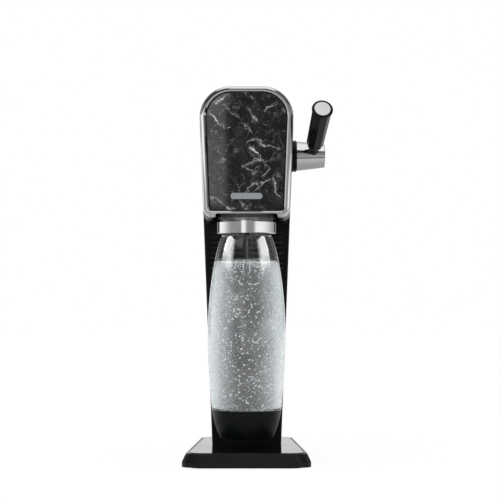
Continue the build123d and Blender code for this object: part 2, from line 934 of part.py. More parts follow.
def rocker():
    half = rocker_width / 2
    front = lever_back - 2
    rear = cylinder_back + plunger_head_radius
    arm = block(-half, half, front, rear, follower_z, follower_z + rocker_arm_height)
    arm += cross_bar(rocker_boss_radius, -half, half, rocker_back, rocker_z)
    return arm - cross_bar(rocker_pin_radius + run_gap, -half, half, rocker_back, rocker_z)


def lug_span():
    # Inner and outer face of a rocker lug, either side of the spine's window
    return window_half_width + seat_gap, window_half_width + seat_gap + lug_thickness


def rocker_lugs():
    inner, outer = lug_span()
    half = rocker_boss_radius
    front, back = spine_back + seat_gap, rocker_back + half
    lugs = []
    for side in (-1, 1):
        low, high = sorted((side * inner, side * outer))
        lug = block(low, high, front, back, rocker_z - half, rocker_z + half)
        lugs.append(lug - cross_bar(rocker_pin_radius, low, high, rocker_back, rocker_z))
    return lugs


def rocker_pin():
    reach = lug_span()[1]
    return cross_bar(rocker_pin_radius, -reach, reach, rocker_back, rocker_z)


def plunger_top():
    return follower_z - pad_gap


def plunger_seat():
    # Underside of the flange that the plunger's spring pushes on
    return plunger_top() - 2 * plunger_head_height


def valve_plunger():
    y = cylinder_back
    low = adapter_top - adapter_bore_depth / 2
    seat = plunger_seat()
    stem = rod(plunger_radius, (0, y, low), (0, y, plunger_top()))
    return stem + rod(plunger_head_radius, (0, y, seat), (0, y, seat + plunger_head_height))


def plunger_spring():
    room = plunger_seat() - dock_top - 2 * seat_gap - plunger_spring_wire
    pitch = room / plunger_spring_turns
    place = Pos(0, cylinder_back, dock_top + seat_gap + plunger_spring_wire / 2)
    radius = plunger_radius + plunger_spring_wire / 2 + part_gap
    return coil(radius, pitch, plunger_spring_turns, plunger_spring_wire, place)


# Gas cylinder and dock

def cylinder_pad():
    pad = ring(cylinder_radius - cylinder_wall, cylinder_radius / 2, base_height, cylinder_low)
    return Pos(0, cylinder_back, 0) * pad


def cylinder_outline(inset):
    # Half of the cylinder's section, drawn in by inset except at the open neck
    low, side = cylinder_low + inset, cylinder_radius - inset
    shoulder_z = cylinder_top - cylinder_shoulder
    neck = cylinder_neck_radius - inset
    bulge = (side - cylinder_bulge, cylinder_top - cylinder_shoulder / 2)
    return make_face([
        Polyline((neck, cylinder_top), (0, cylinder_top), (0, low), (side, low), (side, shoulder_z)),
        ThreePointArc((side, shoulder_z), bulge, (neck, cylinder_top)),
    ])


def gas_cylinder():
    solid = revolve(Plane.XZ * cylinder_outline(0), Axis.Z)
    solid = fillet(solid.edges().group_by(Axis.Z)[0], cylinder_foot_round)
    solid -= revolve(Plane.XZ * cylinder_outline(cylinder_wall), Axis.Z)
    return Pos(0, cylinder_back, 0) * solid


def cylinder_sleeve():
    low = cylinder_low + sleeve_low
    outer = cylinder_radius + sleeve_thickness
    return Pos(0, cylinder_back, 0) * ring(outer, cylinder_radius, low, cylinder_low + sleeve_high)


def cylinder_adapter():
    skirt_top = cylinder_top + adapter_skirt_height
    body = turned([
        (0, cylinder_top), (adapter_skirt_radius, cylinder_top), (adapter_skirt_radius, skirt_top),
        (adapter_top_radius, skirt_top), (adapter_top_radius, adapter_top), (0, adapter_top),
    ])
    lug_low = cylinder_top + adapter_lug_rise
    half = adapter_lug_width / 2
    body += block(-adapter_lug_reach, adapter_lug_reach, -half, half, lug_low, lug_low + adapter_lug_height)
    body -= rod(adapter_bore, (0, 0, adapter_top - adapter_bore_depth), (0, 0, adapter_top))
    return Pos(0, cylinder_back, 0) * body


def valve_pin():
    low = adapter_top - adapter_bore_depth
    high = adapter_top - adapter_bore_depth / 2 - 4.5
    return rod(valve_pin_radius, (0, cylinder_back, low), (0, cylinder_back, high))


def hose_z():
    return dock_low + dock_skirt / 2


def gas_dock():
    y = cylinder_back
    skirt_top = cylinder_top + adapter_skirt_height + seat_gap
    body = rod(dock_radius, (0, y, dock_low), (0, y, dock_top))
    body -= rod(adapter_skirt_radius + part_gap, (0, y, dock_low), (0, y, skirt_top))
    body -= rod(adapter_top_radius + part_gap, (0, y, dock_low), (0, y, adapter_top + seat_gap))
    body -= rod(plunger_radius + run_gap, (0, y, adapter_top), (0, y, dock_top))
    for side in (-1, 1):
        body -= cross_bar(lock_pin_radius, side * lock_pin_start(), side * dock_radius, y, lock_pin_z)
    x, z = hose_port_side, hose_z()
    port_root = y - math.sqrt(dock_radius ** 2 - x ** 2) + spout_radius
    port_end = y - dock_radius - hose_port_length
    return body + rod(spout_radius, (x, port_root, z), (x, port_end, z))


def dock_shelf():
    half = shelf_half_width
    front = spine_back + seat_gap
    low = dock_low - shelf_thickness
    shelf = block(-half, half, front, cylinder_back, low, dock_low)
    shelf -= rod(shelf_hole_radius, (0, cylinder_back, low), (0, cylinder_back, dock_low))
    return shelf + block(-half, half, front, front + shelf_thickness, low - shelf_drop, dock_low)


def lock_pin_start():
    return dock_radius - lock_pin_depth


def lock_pins():
    outer = dock_radius + seat_gap + lock_handle_width
    y, z = cylinder_back, lock_pin_z
    return [cross_bar(lock_pin_radius, side * lock_pin_start(), side * outer, y, z) for side in (-1, 1)]


def lock_handle():
    # Bail that swings about the dock's pins: down is locked
    swing = math.radians(lock_handle_angle)
    along = (0, math.cos(swing), math.sin(swing))
    y, z, reach = cylinder_back, lock_pin_z, lock_handle_reach
    inner = dock_radius + seat_gap
    outer = inner + lock_handle_width
    arm = Pos(reach / 2, 0) * SlotCenterToCenter(reach, lock_handle_depth) - Circle(lock_pin_radius + run_gap)
    handle = cross_bar(lock_handle_depth / 2, -outer, outer, y + reach * along[1], z + reach * along[2])
    for start in (-outer, inner):
        side = Plane(origin=(start, y, z), x_dir=along, z_dir=(1, 0, 0))
        handle += extrude(side * arm, amount=lock_handle_width)
    return handle


def gas_elbow():
    # Fixed banjo round the lock's left pivot, with a spout for the hose
    y, z = lock_pivot_back, lock_pivot_z
    inner = -cheek_half_span
    outer = inner + elbow_room - 2 * seat_gap
    middle = (inner + outer) / 2
    body = rod(elbow_radius, (inner, y, z), (outer, y, z))
    body += rod(hose_radius + seat_gap, (middle, y, z), (middle, y, z + elbow_spout))
    return body - rod(lock_pivot_radius + run_gap, (inner, y, z), (outer, y, z))


def gas_hose():
    # From the dock's port, through the spine, to the elbow's spout
    elbow_x = -cheek_half_span + elbow_room / 2 - seat_gap
    start = (hose_port_side, cylinder_back - dock_radius - hose_port_length, hose_z())
    bend = (hose_port_side, lock_opening_back, hose_z())
    over = (elbow_x, lock_pivot_back, hose_z())
    end = (elbow_x, lock_pivot_back, lock_pivot_z + elbow_spout)
    path = FilletPolyline(start, bend, over, end, radius=[2 * hose_bend, hose_bend])
    section = Plane(origin=start, z_dir=path % 0) * Circle(hose_radius)
    hose = sweep(section, path=path)
    print(f"hose: volume share {hose.volume / (math.pi * hose_radius ** 2 * path.length):.3f}")
    return hose


pieces = {
    "base_shell": base_shell,
    "base_deck": deck,
    "bottom_plate": bottom_plate,
    "rubber_foot": rubber_foot,
    "base_screws": base_screws,
    "tower_screws": tower_screws,
    "tower_shell": tower_shell,
    "column_cover": column_cover,
    "spine": spine,
    "head_shell": head_shell,
    "bezel": bezel,
    "front_panel": front_panel,
    "panel_carrier": panel_carrier,
    "badge": badge,
    "head_frame": head_frame,
    "bottle": bottle,
    "bottle_cup": bottle_cup,
    "lock_ring": lock_ring,
    "lock_body": lock_body,
    "lock_pivots": lock_pivots,
    "lock_jaws": lock_jaws,
    "neck_seal": neck_seal,
    "nozzle_block": nozzle_block,
    "nozzle_tube": nozzle_tube,
    "relief_valve": relief_valve,
    "lever_collar": lever_collar,
    "lever_hub": lever_hub,
    "hub_cap": hub_cap,
    "lever_stem": lever_stem,
    "lever_grip": lever_grip,
    "lever_end_cap": lever_end_cap,
    "lever_shaft": lever_shaft,
    "lever_cam": lever_cam,
    "shaft_clip": shaft_clip,
    "shaft_bushes": shaft_bushes,
    "lever_spring": lever_spring,
    "rocker": rocker,
    "rocker_lugs": rocker_lugs,
    "rocker_pin": rocker_pin,
    "valve_plunger": valve_plunger,
    "plunger_spring": plunger_spring,
    "gas_cylinder": gas_cylinder,
    "cylinder_sleeve": cylinder_sleeve,
    "cylinder_adapter": cylinder_adapter,
    "valve_pin": valve_pin,
    "cylinder_pad": cylinder_pad,
    "gas_dock": gas_dock,
    "dock_shelf": dock_shelf,
    "lock_pins": lock_pins,
    "lock_handle": lock_handle,
    "gas_elbow": gas_elbow,
    "gas_hose": gas_hose,
    "rear_cover": rear_cover,
    "cover_rib": cover_rib,
    "cover_button": cover_button,
}

os.makedirs("parts", exist_ok=True)
for name, make in pieces.items():
    made = make()
    shape = Compound(children=made) if isinstance(made, list) else made
    export_step(shape, f"parts/{name}.step")
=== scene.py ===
import json
import math
import random

import bpy
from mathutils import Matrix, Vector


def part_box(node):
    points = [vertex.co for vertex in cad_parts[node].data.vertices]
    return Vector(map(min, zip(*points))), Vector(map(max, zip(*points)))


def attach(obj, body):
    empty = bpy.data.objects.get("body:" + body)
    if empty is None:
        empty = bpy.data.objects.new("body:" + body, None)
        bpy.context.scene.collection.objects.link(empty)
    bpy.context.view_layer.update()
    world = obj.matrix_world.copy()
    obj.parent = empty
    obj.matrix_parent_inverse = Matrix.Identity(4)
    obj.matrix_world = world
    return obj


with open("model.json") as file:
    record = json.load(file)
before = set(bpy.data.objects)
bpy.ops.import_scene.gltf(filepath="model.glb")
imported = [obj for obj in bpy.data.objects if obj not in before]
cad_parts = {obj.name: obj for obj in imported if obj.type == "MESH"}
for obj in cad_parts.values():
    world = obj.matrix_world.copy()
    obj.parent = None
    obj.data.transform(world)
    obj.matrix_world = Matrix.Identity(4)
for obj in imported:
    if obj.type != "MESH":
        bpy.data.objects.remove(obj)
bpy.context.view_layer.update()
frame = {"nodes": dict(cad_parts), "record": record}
nodes = frame["nodes"]


# small helpers for shader nodes

def addNode(tree, kind, inputs=None, **settings):
    new = tree.nodes.new("ShaderNode" + kind)
    for key, value in settings.items():
        setattr(new, key, value)
    for key, value in (inputs or {}).items():
        if isinstance(value, bpy.types.NodeSocket):
            tree.links.new(value, new.inputs[key])
        else:
            new.inputs[key].default_value = value
    return new


def calc(tree, operation, a, b=0.0, c=0.0):
    return addNode(tree, "Math", {0: a, 1: b, 2: c}, operation=operation).outputs[0]


def vectorCalc(tree, operation, a, b, output="Vector"):
    return addNode(tree, "VectorMath", {0: a, 1: b}, operation=operation).outputs[output]


def scaled(tree, vector, factor):
    return addNode(tree, "VectorMath", {0: vector, "Scale": factor}, operation="SCALE").outputs["Vector"]


def clamped(tree, value):
    return addNode(tree, "Clamp", {"Value": value}).outputs[0]


def ramp(tree, value, low, high, toLow=0.0, toHigh=1.0, smooth=True):
    kind = "SMOOTHSTEP" if smooth else "LINEAR"
    inputs = {"Value": value, "From Min": low, "From Max": high, "To Min": toLow, "To Max": toHigh}
    return addNode(tree, "MapRange", inputs, interpolation_type=kind).outputs[0]


def band(tree, value, low, lowSoft, high, highSoft):
    rise = ramp(tree, value, low - lowSoft, low + lowSoft)
    fall = ramp(tree, value, high - highSoft, high + highSoft, 1.0, 0.0)
    return calc(tree, "MULTIPLY", rise, fall)


def noise(tree, place, scale, detail, rough=0.5, distortion=0.0):
    inputs = {"Vector": place, "Scale": scale, "Detail": detail, "Roughness": rough, "Distortion": distortion}
    return addNode(tree, "TexNoise", inputs).outputs


def mixValue(tree, factor, a, b):
    return addNode(tree, "Mix", {0: factor, 2: a, 3: b}, data_type="FLOAT").outputs[0]


def mixColor(tree, factor, a, b):
    return addNode(tree, "Mix", {0: factor, 6: a, 7: b}, data_type="RGBA").outputs[2]


def newGroup(name, inputs, outputs):
    group = bpy.data.node_groups.new(name, "ShaderNodeTree")
    for label, value in inputs.items():
        kind = "NodeSocketVector" if isinstance(value, tuple) else "NodeSocketFloat"
        socket = group.interface.new_socket(label, in_out="INPUT", socket_type=kind)
        socket.default_value = value
    for label in outputs:
        group.interface.new_socket(label, in_out="OUTPUT", socket_type="NodeSocketFloat")
    return group, group.nodes.new("NodeGroupInput").outputs, group.nodes.new("NodeGroupOutput").inputs


def useGroup(tree, group, values):
    return addNode(tree, "Group", values, node_tree=group).outputs


def objectCoords(tree):
    return addNode(tree, "TexCoord").outputs["Object"]


def between(tree, share, low, high):
    return calc(tree, "MULTIPLY_ADD", share, calc(tree, "SUBTRACT", high, low), low)


# effects that several finishes share

grainLook = {
    "pebbleShare": 0.6,
    "cloudShare": 0.4,
    "cloudScale": 38.0,
    "heightRamp": (0.3, 0.7),
    "dullRamp": (0.35, 0.65),
    "bump": 0.6,
}


def makeMouldGrain():
    # spark-eroded mould texture: a fine even pebble, duller on its peaks
    group, given, out = newGroup(
        "mouldGrain", {"Grain Size": 0.0006, "Dull": 0.5, "Shiny": 0.4}, ["Roughness", "Height"])
    place = objectCoords(group)
    pebble = noise(group, place, calc(group, "DIVIDE", 1.0, given["Grain Size"]), 2.0)[0]
    cloud = noise(group, place, grainLook["cloudScale"], 3.0)[0]
    blend = calc(group, "ADD", calc(group, "MULTIPLY", pebble, grainLook["pebbleShare"]),
                 calc(group, "MULTIPLY", cloud, grainLook["cloudShare"]))
    group.links.new(ramp(group, blend, *grainLook["heightRamp"]), out["Height"])
    peaks = ramp(group, blend, *grainLook["dullRamp"])
    group.links.new(between(group, peaks, given["Shiny"], given["Dull"]), out["Roughness"])
    return group


marksLook = {
    "smearShare": 0.8,
    "smearDistortion": 0.8,
    "hazeShare": 0.2,
    "hazeScale": 900.0,
    "smearRamp": (0.38, 0.68),
    "waveScale": 55.0,
}


def makeHandlingMarks():
    # a wiped, polished surface: broad faint smears, a little fine haze and a slow wave
    group, given, out = newGroup(
        "handlingMarks", {"Clean": 0.04, "Smeared": 0.09, "Smear Size": 0.03}, ["Roughness", "Height"])
    place = objectCoords(group)
    scale = calc(group, "DIVIDE", 1.0, given["Smear Size"])
    smear = noise(group, place, scale, 5.0, distortion=marksLook["smearDistortion"])[0]
    haze = noise(group, place, marksLook["hazeScale"], 1.0)[0]
    blend = calc(group, "MULTIPLY_ADD", haze, marksLook["hazeShare"],
                 calc(group, "MULTIPLY", smear, marksLook["smearShare"]))
    touched = ramp(group, blend, *marksLook["smearRamp"])
    group.links.new(between(group, touched, given["Clean"], given["Smeared"]), out["Roughness"])
    group.links.new(noise(group, place, marksLook["waveScale"], 0.0)[0], out["Height"])
    return group


brushLook = {
    "fineness": 2500.0,
    "dullRamp": (0.3, 0.7),
    "shadeRamp": (0.25, 0.75),
    "bump": 0.5,
    "depth": 0.00001,
}


def makeBrushedLines():
    # fine scratches along one axis: the axis with the small share is the brushed one
    group, given, out = newGroup(
        "brushedLines", {"Across X": 1.0, "Across Y": 1.0, "Across Z": 1.0, "Fineness": 2500.0,
                         "Dull": 0.42, "Shiny": 0.26}, ["Roughness", "Height", "Shade"])
    share = addNode(group, "CombineXYZ", {0: given["Across X"], 1: given["Across Y"], 2: given["Across Z"]})
    place = vectorCalc(group, "MULTIPLY", objectCoords(group), share.outputs[0])
    lines = noise(group, place, given["Fineness"], 3.0)[0]
    crests = ramp(group, lines, *brushLook["dullRamp"])
    group.links.new(between(group, crests, given["Shiny"], given["Dull"]), out["Roughness"])
    group.links.new(lines, out["Height"])
    group.links.new(ramp(group, lines, *brushLook["shadeRamp"]), out["Shade"])
    return group


veinLook = {
    "endWidth": 0.35,     # share of the width at the ends
    "swell": 2.6,         # how much it gains towards the middle
    "core": 0.4,          # share of the width over which the edge fades
}


def makeStoneVein():
    # one vein of pale mineral from point to point, widest in its middle, with a mist round it
    group, given, out = newGroup(
        "stoneVein", {"Place": (0.0, 0.0, 0.0), "From": (0.0, 0.0, 0.0), "To": (0.0, 0.0, 0.01),
                      "Width": 0.0006, "Mist Width": 0.004, "Strength": 1.0}, ["Mask", "Mist"])
    run = vectorCalc(group, "SUBTRACT", given["To"], given["From"])
    off = vectorCalc(group, "SUBTRACT", given["Place"], given["From"])
    along = vectorCalc(group, "DOT_PRODUCT", off, run, "Value")
    whole = vectorCalc(group, "DOT_PRODUCT", run, run, "Value")
    share = clamped(group, calc(group, "DIVIDE", along, whole))
    aside = vectorCalc(group, "DISTANCE", off, scaled(group, run, share), "Value")
    middle = calc(group, "MULTIPLY", share, calc(group, "SUBTRACT", 1.0, share))
    taper = calc(group, "MULTIPLY_ADD", middle, veinLook["swell"], veinLook["endWidth"])
    for label, width in (("Mask", given["Width"]), ("Mist", given["Mist Width"])):
        reach = calc(group, "MULTIPLY", width, taper)
        near = clamped(group, calc(group, "SUBTRACT", 1.0, calc(group, "DIVIDE", aside, reach)))
        if label == "Mist":
            near = calc(group, "MULTIPLY", near, near)
        else:
            near = ramp(group, near, 0.0, veinLook["core"], smooth=False)
        group.links.new(calc(group, "MULTIPLY", near, given["Strength"]), out[label])
    return group


hairLook = {
    "level": 0.5,         # the noise level that the lines follow
    "levelRough": 0.55,
    "levelDistortion": 0.5,
    "patchScale": 1.7,
    "patchRough": 0.6,
    "patchRamp": (-0.04, 0.14),
}


def makeStoneHairlines():
    # wispy lines that follow a level line of a noise, broken up where Presence is low
    group, given, out = newGroup(
        "stoneHairlines",
        {"Place": (0.0, 0.0, 0.0), "Cell Size": 0.03, "Width": 0.03, "Presence": 0.5}, ["Mask"])
    place = scaled(group, given["Place"], calc(group, "DIVIDE", 1.0, given["Cell Size"]))
    level = noise(group, place, 1.0, 5.0, hairLook["levelRough"], hairLook["levelDistortion"])[0]
    edge = calc(group, "ABSOLUTE", calc(group, "SUBTRACT", level, hairLook["level"]))
    patch = noise(group, place, hairLook["patchScale"], 4.0, hairLook["patchRough"])[0]
    gate = calc(group, "SUBTRACT", 1.0, given["Presence"])
    shown = ramp(group, calc(group, "SUBTRACT", patch, gate), *hairLook["patchRamp"])
    core = clamped(group, calc(group, "SUBTRACT", 1.0, calc(group, "DIVIDE", edge, given["Width"])))
    group.links.new(calc(group, "MULTIPLY", core, shown), out["Mask"])
    return group


mouldGrain = makeMouldGrain()
handlingMarks = makeHandlingMarks()
brushedLines = makeBrushedLines()
stoneVein = makeStoneVein()
stoneHairlines = makeStoneHairlines()
print("shared effects:", len(bpy.data.node_groups))


# finishes, one for each slot of the record and three for single nodes

socketLabels = {
    "color": "Base Color", "metal": "Metallic", "rough": "Roughness", "ior": "IOR",
    "specular": "Specular IOR Level", "transmission": "Transmission Weight",
}


def opaque(color):
    return (*color, 1.0)


def newFinish(name, **sockets):
    material = bpy.data.materials.new(name)
    material.use_nodes = True
    tree = material.node_tree
    shader = tree.nodes["Principled BSDF"]
    for key, value in sockets.items():
        shader.inputs[socketLabels[key]].default_value = opaque(value) if key == "color" else value
    return material, tree, shader


def bumpFrom(tree, shader, height, strength, distance):
    bump = addNode(tree, "Bump", {"Height": height, "Strength": strength, "Distance": distance})
    tree.links.new(bump.outputs[0], shader.inputs["Normal"])


def tintBy(tree, shader, mask, dark, light):
    tree.links.new(mixColor(tree, mask, opaque(dark), opaque(light)), shader.inputs["Base Color"])


def markedSurface(tree, shader, clean, smeared, smearSize):
    marks = useGroup(tree, handlingMarks, {"Clean": clean, "Smeared": smeared, "Smear Size": smearSize})
    tree.links.new(marks["Roughness"], shader.inputs["Roughness"])
    return marks


def polished(name, dark, light, clean, smeared, smearSize, **sockets):
    # glossy or satin moulding, plated metal
    material, tree, shader = newFinish(name, **sockets)
    marks = markedSurface(tree, shader, clean, smeared, smearSize)
    tintBy(tree, shader, marks["Height"], dark, light)
    return material


def moulded(name, dark, light, shiny, dull, grainSize, depth, **sockets):
    # matt or satin plastic and rubber
    material, tree, shader = newFinish(name, **sockets)
    grain = useGroup(tree, mouldGrain, {"Grain Size": grainSize, "Shiny": shiny, "Dull": dull})
    tree.links.new(grain["Roughness"], shader.inputs["Roughness"])
    tintBy(tree, shader, grain["Height"], dark, light)
    bumpFrom(tree, shader, grain["Height"], grainLook["bump"], depth)
    return material


def brushed(name, dark, light, shiny, dull, across):
    # drawn, turned or brushed metal
    material, tree, shader = newFinish(name, metal=1.0)
    values = {"Shiny": shiny, "Dull": dull, "Fineness": brushLook["fineness"]}
    values.update(zip(("Across X", "Across Y", "Across Z"), across))
    lines = useGroup(tree, brushedLines, values)
    tree.links.new(lines["Roughness"], shader.inputs["Roughness"])
    tintBy(tree, shader, lines["Shade"], dark, light)
    bumpFrom(tree, shader, lines["Height"], brushLook["bump"], brushLook["depth"])
    return material


stone = {
    "specular": 0.46,
    "ground": (0.0060, 0.0064, 0.0076),
    "mist": (0.075, 0.079, 0.086),
    "line": (0.30, 0.305, 0.31),
    "vein": (0.95, 0.96, 0.97),
    # painted shade: a dull black band along the panel's outline stands for the shadow in the gap between the
    # panel and its frame
    "edge": (0.0005, 0.0005, 0.0005),
    "gapShadeRough": 0.9,
    "gapShadeWidth": 0.0009,     # width of the painted shade along the panel's edge
    "gapShadeSoft": 0.0003,
    "widest": 0.394,      # height where the panel is widest, and how its sides draw in below
    "taper": 0.0400,
    "lowCorner": 0.006,
    "highCorner": 0.0300,
    # bends and kinks: how many in a metre, how far
    "wander": [(75.0, 0.010), (190.0, 0.006), (520.0, 0.0026), (1400.0, 0.0010)],
    # each vein is drawn again, thinner and fainter, with other bends: shift of the bends, share of width,
    # strength
    "drawings": [((0.0, 0.0, 0.0), 0.46, 1.0), ((3.7, 0.0, 1.9), 0.34, 0.7), ((7.1, 0.0, 5.3), 0.30, 0.5)],
    "mistWidth": 0.002,   # half width of the mist of the faintest vein, and what a full one adds
    "mistGain": 0.006,
    "mistRamp": (0.34, 0.62),
    "mistShare": 0.75,
    # grit breaks up the veins
    "gritScale": 330.0,
    "gritRough": 0.65,
    "gritRamp": (0.36, 0.60, 0.15, 1.0),
    # cell size, width and presence of the two nets of hairlines
    "hairlines": [(0.024, 0.009, 0.55), (0.011, 0.012, 0.49)],
    "hairlineShare": 0.7,
    "cloudScale": 62.0,
    "cloudRough": 0.72,
    "cloudRamp": (0.44, 0.86),
    "cloudShare": 0.8,
    # veins on the panel in millimetres: from x, z to x, z, half width, strength
    "veins": [
        (-44, 408, -34, 411, 0.7, 0.40), (-35, 410, -26, 414, 1.2, 1.00), (-27, 413, -22, 418, 0.6, 0.55),
        (-45, 401, -35, 392, 0.8, 0.60), (-36, 393, -31, 387, 1.2, 1.00), (-31, 388, -24, 382, 0.6, 0.50),
        (-22, 380, -18, 382, 0.8, 0.65), (-26, 408, -19, 401, 0.9, 0.55), (-20, 402, -9, 393, 0.7, 0.40),
        (-24, 402, -31, 395, 0.6, 0.35), (-4, 386, 6, 374, 0.8, 0.50), (-2, 422, 1, 418, 0.6, 0.45),
        (4, 417, 8, 414, 0.8, 0.80), (0, 404, 7, 396, 0.8, 0.35), (6, 395, 12, 388, 0.9, 0.90),
        (7, 391, 6, 387, 0.6, 0.50), (20, 400, 25, 405, 0.8, 0.70), (24, 404, 35, 409, 0.8, 0.65),
        (39, 402, 45, 400, 0.7, 0.65), (-1, 363, 10, 369, 0.9, 0.55), (10, 369, 16, 367, 0.8, 0.60),
        (16, 368, 15, 363, 0.9, 0.80), (15, 364, 21, 360, 0.7, 0.65), (20, 361, 38, 357, 0.7, 0.50),
        (3, 360, 13, 352, 1.5, 1.00), (12, 353, 18, 344, 1.1, 0.70), (4, 355, 9, 345, 0.6, 0.40),
        (19, 344, 9, 344, 1.0, 0.90), (10, 345, 3, 339, 0.8, 0.75), (4, 340, -5, 339, 0.8, 0.75),
        (-5, 339, 4, 332, 0.7, 0.55), (3, 333, 13, 330, 0.7, 0.55), (15, 338, 10, 332, 0.6, 0.35),
        (18, 344, 26, 334, 0.7, 0.40), (26, 335, 22, 328, 0.8, 0.55), (23, 329, 17, 325, 0.9, 0.70),
        (0, 308, 6, 315, 1.0, 0.50), (5, 314, 12, 321, 1.1, 0.55), (9, 309, 16, 318, 0.8, 0.50),
        (14, 316, 27, 323, 0.9, 0.55), (30, 325, 32, 313, 1.1, 0.80), (32, 315, 33, 306, 0.9, 0.60),
        (33, 308, 37, 302, 0.7, 0.50), (34, 330, 39, 323, 0.7, 0.40), (-43, 302, -36, 301, 0.8, 0.75),
        (-35, 302, -25, 295, 0.9, 0.85), (-23, 291, -18, 288, 0.9, 0.80), (-18, 288, -13, 290, 0.8, 0.65),
        (-6, 299, 0, 288, 0.8, 0.55), (0, 288, 4, 294, 0.6, 0.40), (-32, 341, -24, 346, 0.7, 0.45),
    ],
}


def bentPlace(tree, flat, shift):
    # the stone's own place, bent so that no vein runs straight
    place = flat
    moved = vectorCalc(tree, "ADD", flat, shift)
    for scale, reach in stone["wander"]:
        wander = noise(tree, moved, scale, 2.0)["Color"]
        centred = vectorCalc(tree, "SUBTRACT", wander, (0.5, 0.5, 0.5))
        pushed = vectorCalc(tree, "MULTIPLY", centred, (reach, 0.0, reach))
        place = vectorCalc(tree, "ADD", place, pushed)
    return place


def drawVeins(tree, flat):
    # all veins and their mist, and the last of the bent places
    veins, mist = 0.0, 0.0
    for shift, thin, share in stone["drawings"]:
        place = bentPlace(tree, flat, shift)
        for fromX, fromZ, toX, toZ, width, strength in stone["veins"]:
            one = useGroup(tree, stoneVein, {
                "Place": place,
                "From": (fromX / 1000, 0.0, fromZ / 1000),
                "To": (toX / 1000, 0.0, toZ / 1000),
                "Width": width / 1000 * thin,
                "Mist Width": stone["mistGain"] * strength + stone["mistWidth"],
                "Strength": strength * share,
            })
            veins = calc(tree, "MAXIMUM", veins, one["Mask"])
            mist = calc(tree, "MAXIMUM", mist, one["Mist"])
    return veins, mist, place


def clearOfGapShade(tree):
    # 0 on a band of painted shade along the panel's outline, the shadow of the gap next to the frame; the
    # outline is a rounded shape that is wider at its top. Else 1
    low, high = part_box("front_panel")
    place = addNode(tree, "SeparateXYZ", {0: objectCoords(tree)}).outputs
    narrower = calc(tree, "MULTIPLY", calc(tree, "SUBTRACT", stone["widest"], place["Z"]), stone["taper"])
    side = calc(tree, "SUBTRACT", high.x, calc(tree, "MAXIMUM", narrower, 0.0))
    upper = calc(tree, "GREATER_THAN", place["Z"], (low.z + high.z) / 2)
    corner = mixValue(tree, upper, stone["lowCorner"], stone["highCorner"])
    fromSide = calc(tree, "SUBTRACT", side, calc(tree, "ABSOLUTE", place["X"]))
    fromFoot = calc(tree, "SUBTRACT", place["Z"], low.z)
    fromEnd = calc(tree, "MINIMUM", fromFoot, calc(tree, "SUBTRACT", high.z, place["Z"]))
    across, upward = [
        calc(tree, "MAXIMUM", calc(tree, "SUBTRACT", corner, away), 0.0) for away in (fromSide, fromEnd)]
    outward = calc(tree, "MULTIPLY_ADD", across, across, calc(tree, "MULTIPLY", upward, upward))
    inside = calc(tree, "SUBTRACT", corner, calc(tree, "SQRT", outward))
    return ramp(tree, inside, stone["gapShadeWidth"], stone["gapShadeWidth"] + stone["gapShadeSoft"])


def makePanelStone():
    material, tree, shader = newFinish("panelStone", specular=stone["specular"])
    marks = useGroup(tree, handlingMarks, {"Clean": 0.03, "Smeared": 0.05, "Smear Size": 0.04})
    flat = vectorCalc(tree, "MULTIPLY", objectCoords(tree), (1.0, 0.0, 1.0))
    veins, mist, place = drawVeins(tree, flat)
    grit = noise(tree, flat, stone["gritScale"], 4.0, stone["gritRough"])[0]
    veins = calc(tree, "MULTIPLY", veins, ramp(tree, grit, *stone["gritRamp"]))
    lines = 0.0
    for cell, width, presence in stone["hairlines"]:
        net = useGroup(tree, stoneHairlines, {
            "Place": place, "Cell Size": cell, "Width": width, "Presence": presence})
        lines = calc(tree, "MAXIMUM", lines, net["Mask"])
    lines = calc(tree, "MULTIPLY", lines, stone["hairlineShare"])
    cloud = noise(tree, place, stone["cloudScale"], 7.0, stone["cloudRough"])[0]
    mist = calc(tree, "MULTIPLY", mist, ramp(tree, cloud, *stone["mistRamp"]))
    mist = calc(tree, "MULTIPLY_ADD", ramp(tree, cloud, *stone["cloudRamp"]), stone["cloudShare"],
                calc(tree, "MULTIPLY", mist, stone["mistShare"]))
    color = mixColor(tree, mist, opaque(stone["ground"]), opaque(stone["mist"]))
    color = mixColor(tree, lines, color, opaque(stone["line"]))
    color = mixColor(tree, veins, color, opaque(stone["vein"]))
    # painted shade: the band along the outline is dull black, for the gap's shadow
    shown = clearOfGapShade(tree)
    tree.links.new(mixColor(tree, shown, opaque(stone["edge"]), color), shader.inputs["Base Color"])
    rough = mixValue(tree, shown, stone["gapShadeRough"], marks["Roughness"])
    tree.links.new(rough, shader.inputs["Roughness"])
    return material


def makeClear():
    material, tree, shader = newFinish(
        "clear", color=(0.978, 0.988, 0.99), transmission=1.0, ior=1.5, rough=0.0)
    markedSurface(tree, shader, clean=0.0, smeared=0.02, smearSize=0.05)
    return material


